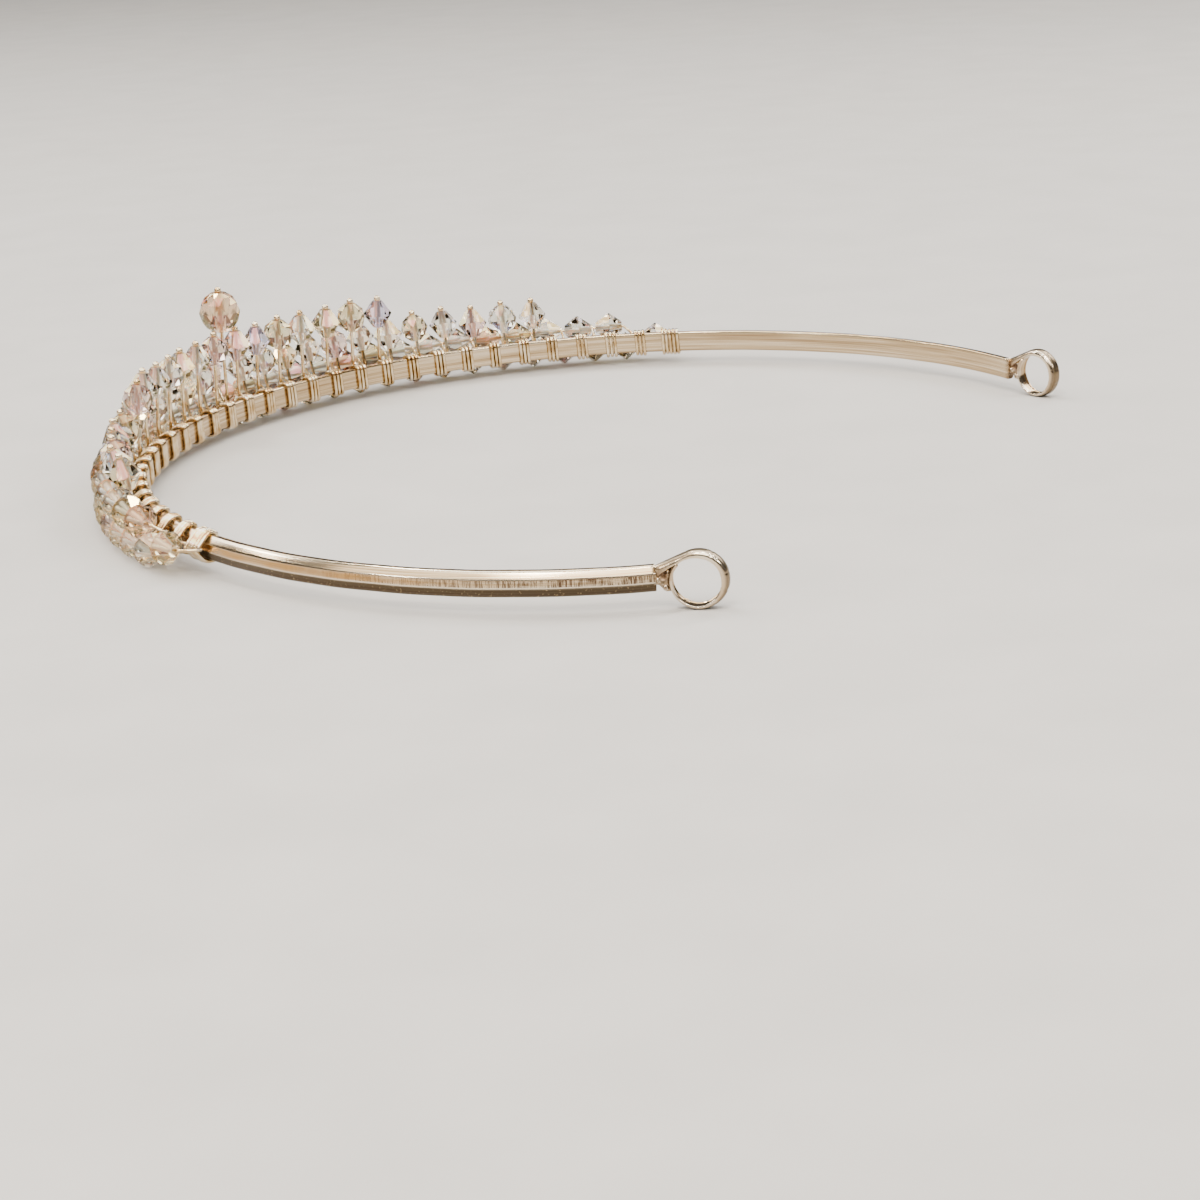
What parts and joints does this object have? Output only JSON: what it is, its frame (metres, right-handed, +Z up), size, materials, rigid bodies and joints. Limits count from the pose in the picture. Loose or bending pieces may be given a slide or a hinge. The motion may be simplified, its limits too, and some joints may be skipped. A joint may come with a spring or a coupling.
{
  "type": "wired crystal tiara",
  "caption": "Horseshoe metal headband with an eyelet at each end, its front covered in faceted crystal beads wired on in rows and on pins that rise to a low peak.",
  "frame": {"origin": "middle of the footprint, on the surface that the tiara stands on", "axes": "+Z up, +X to the wearer's left, -Y to the front; the eyelets are at the back, at +Y"},
  "size_m": [0.1374, 0.1138, 0.0224],
  "materials": {
    "band_metal": "champagne-nickel plate on brass wire, drawn, lightly scratched and rubbed",
    "binding_metal": "bright champagne-silver plated fine wire",
    "clear_crystal": "clear cut glass with a faint rainbow coating",
    "champagne_crystal": "champagne cut glass",
    "blush_crystal": "pale rose cut glass",
    "lavender_crystal": "pale lavender cut glass",
    "peach_crystal": "peach cut glass"
  },
  "bodies": {
    "root": {"headband": "band_metal", "binding_wire": "binding_metal", "lower_row_left": "clear_crystal", "lower_row_right": "clear_crystal", "upper_row_left": "clear_crystal", "upper_row_right": "clear_crystal", "front_crystal_01": "clear_crystal", "front_crystal_02": "clear_crystal", "front_crystal_03": "blush_crystal", "front_crystal_04": "clear_crystal", "front_crystal_05": "champagne_crystal", "front_crystal_06": "clear_crystal", "front_crystal_07": "clear_crystal", "front_crystal_08": "blush_crystal", "front_crystal_09": "clear_crystal", "front_crystal_10": "champagne_crystal", "front_crystal_11": "clear_crystal", "front_crystal_12": "clear_crystal", "front_crystal_13": "blush_crystal", "front_crystal_14": "clear_crystal", "front_crystal_15": "champagne_crystal", "front_crystal_16": "clear_crystal", "front_crystal_17": "clear_crystal", "front_crystal_18": "blush_crystal", "front_crystal_19": "clear_crystal", "front_crystal_20": "champagne_crystal", "front_crystal_21": "clear_crystal", "front_crystal_22": "clear_crystal", "front_crystal_23": "blush_crystal", "front_crystal_24": "clear_crystal", "front_crystal_25": "champagne_crystal", "crest_crystal_01": "lavender_crystal", "crest_crystal_02": "champagne_crystal", "crest_crystal_03": "champagne_crystal", "crest_crystal_04": "clear_crystal", "crest_crystal_05": "champagne_crystal", "crest_crystal_06": "lavender_crystal", "crest_crystal_07": "blush_crystal", "crest_crystal_08": "blush_crystal", "crest_crystal_09": "clear_crystal", "crest_crystal_10": "champagne_crystal", "crest_crystal_11": "clear_crystal", "crest_crystal_12": "clear_crystal", "crest_crystal_13": "clear_crystal", "crest_crystal_14": "blush_crystal", "peak_crystal": "peach_crystal"}
  },
  "joints": []
}
